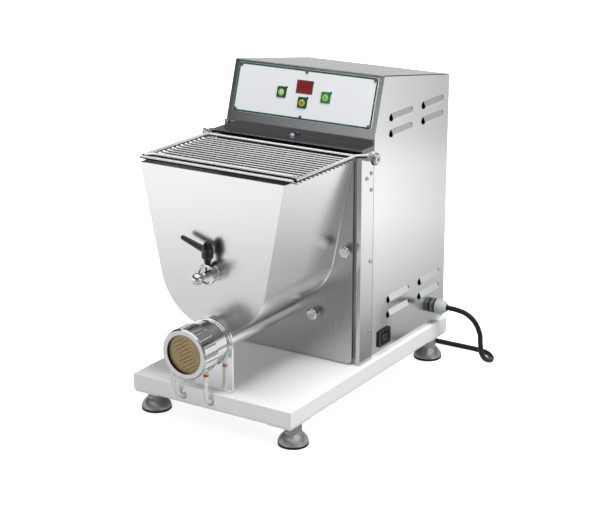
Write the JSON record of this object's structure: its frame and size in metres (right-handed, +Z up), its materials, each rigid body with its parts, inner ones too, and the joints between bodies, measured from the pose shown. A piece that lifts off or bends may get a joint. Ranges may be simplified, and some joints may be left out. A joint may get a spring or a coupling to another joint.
{
  "type": "electric pasta maker",
  "caption": "Bench-top electric pasta maker with a mixing tub, hinged wire lid, extrusion barrel with ring nut and die, and a sheet-steel drive column with a control panel.",
  "frame": {"origin": "on the bench, under the middle of the machine's outline", "axes": "+Z up, -Y towards the user (the die end), +X to the user's right"},
  "size_m": [0.4064, 0.737, 0.5351],
  "materials": {
    "white_paint": "satin",
    "brushed_panel": "brushed",
    "brushed_fascia": "brushed",
    "tub_steel": "satin",
    "polished_steel": "polished",
    "satin_nut": "satin",
    "screw_steel": "satin",
    "bronze": "satin",
    "black_rubber": "matte",
    "black_plastic": "gloss",
    "grey_plastic": "satin",
    "label_film": "satin",
    "display_film": "gloss",
    "green_button": "satin",
    "board": "satin",
    "shaft_steel": "machined",
    "cast_housing": "painted",
    "motor_paint": "satin",
    "capacitor_can": "satin",
    "hose_plastic": "satin",
    "red_band": "gloss"
  },
  "bodies": {
    "machine": {"base_tray": "white_paint", "foot_bells": "polished_steel", "foot_pads": "black_rubber", "front_frame": "brushed_panel", "outer_cover": "brushed_panel", "rear_panel": "brushed_panel", "fascia_panel": "brushed_fascia", "control_label": "label_film", "label_screws": "screw_steel", "display_window": "display_film", "indicator_leds": "black_plastic", "control_board": "board", "flange_screws": "screw_steel", "rear_screws": "screw_steel", "ledge_nut": "polished_steel", "hinge_bosses": "polished_steel", "pivot_screws": "polished_steel", "lid_switch": "black_plastic", "hopper": "tub_steel", "back_plate": "tub_steel", "pin_boss": "polished_steel", "shaft_seals": "black_rubber", "mixer_bearing": "cast_housing", "auger_bearing": "cast_housing", "barrel_tube": "tub_steel", "cooling_jacket": "polished_steel", "die": "bronze", "barrel_support": "polished_steel", "gear_reducer": "cast_housing", "motor": "motor_paint", "run_capacitor": "capacitor_can", "water_hoses": "hose_plastic", "hose_band": "red_band", "hose_fittings": "polished_steel", "accessory_socket": "black_plastic", "cable_gland": "grey_plastic", "supply_cord": "black_rubber", "cord_coil": "black_rubber", "plug_body": "black_plastic", "plug_pins": "screw_steel"},
    "lid": {"lid_frame": "polished_steel", "lid_wires": "polished_steel"},
    "clamp_lever": {"clamp_lever": "black_plastic"},
    "pin_knob": {"pin_knob": "polished_steel"},
    "mixer": {"mixer_paddle": "tub_steel", "mixer_shaft": "shaft_steel", "mixer_gear": "shaft_steel"},
    "auger": {"auger": "satin_nut", "auger_shaft": "shaft_steel", "auger_gear": "shaft_steel"},
    "pinion": {"drive_pinion": "shaft_steel"},
    "ring_nut": {"ring_nut": "satin_nut"},
    "hand_screw_1": {"hand_screw_1": "polished_steel"},
    "hand_screw_2": {"hand_screw_2": "polished_steel"},
    "hand_screw_3": {"hand_screw_3": "polished_steel"},
    "hand_screw_4": {"hand_screw_4": "polished_steel"},
    "button_left": {"button_left": "green_button"},
    "button_stop": {"button_stop": "green_button"},
    "button_right": {"button_right": "green_button"}
  },
  "joints": [
    {"name": "lid_hinge", "type": "hinge", "parent": "machine", "child": "lid", "pos_m": [0, 0.008, 0.4145], "axis": [-1, 0, 0], "range_deg": [0, 95]},
    {"name": "clamp_lever_turn", "type": "hinge", "parent": "machine", "child": "clamp_lever", "pos_m": [0, -0.2232, 0.262], "axis": [0, 0, 1], "range_deg": [0, 170]},
    {"name": "pin_pull", "type": "slide", "parent": "machine", "child": "pin_knob", "axis": [0, -1, 0], "range_m": [0, 0.032]},
    {"name": "mixer_turn", "type": "hinge", "parent": "machine", "child": "mixer", "pos_m": [0, -0.124, 0.262], "axis": [0, 1, 0], "continuous": true},
    {"name": "auger_turn", "type": "hinge", "parent": "machine", "child": "auger", "pos_m": [-0.004, -0.124, 0.14957], "axis": [0, 1, 0], "continuous": true},
    {"name": "pinion_turn", "type": "hinge", "parent": "machine", "child": "pinion", "pos_m": [0, 0.026, 0.35575], "axis": [0, 1, 0], "continuous": true},
    {"name": "ring_nut_turn", "type": "hinge", "parent": "machine", "child": "ring_nut", "pos_m": [-0.004, -0.264, 0.14957], "axis": [0, 1, 0], "continuous": true},
    {"name": "hand_screw_1_turn", "type": "hinge", "parent": "machine", "child": "hand_screw_1", "pos_m": [0.1205, -0.019, 0.2635], "axis": [0, 1, 0], "continuous": true},
    {"name": "hand_screw_2_turn", "type": "hinge", "parent": "machine", "child": "hand_screw_2", "pos_m": [0.06, -0.019, 0.14757], "axis": [0, 1, 0], "continuous": true},
    {"name": "hand_screw_3_turn", "type": "hinge", "parent": "machine", "child": "hand_screw_3", "pos_m": [-0.06, -0.019, 0.14757], "axis": [0, 1, 0], "continuous": true},
    {"name": "hand_screw_4_turn", "type": "hinge", "parent": "machine", "child": "hand_screw_4", "pos_m": [-0.1205, -0.019, 0.2635], "axis": [0, 1, 0], "continuous": true},
    {"name": "button_left_press", "type": "slide", "parent": "machine", "child": "button_left", "axis": [0, 0.9548, -0.2974], "range_m": [0, 0.0008], "stiffness_N_per_m": 900},
    {"name": "button_stop_press", "type": "slide", "parent": "machine", "child": "button_stop", "axis": [0, 0.9548, -0.2974], "range_m": [0, 0.0008], "stiffness_N_per_m": 900},
    {"name": "button_right_press", "type": "slide", "parent": "machine", "child": "button_right", "axis": [0, 0.9548, -0.2974], "range_m": [0, 0.0008], "stiffness_N_per_m": 900}
  ],
  "couplings": [
    {"joint": "auger_turn", "follows": "mixer_turn", "ratio": -2},
    {"joint": "pinion_turn", "follows": "mixer_turn", "ratio": -4}
  ]
}
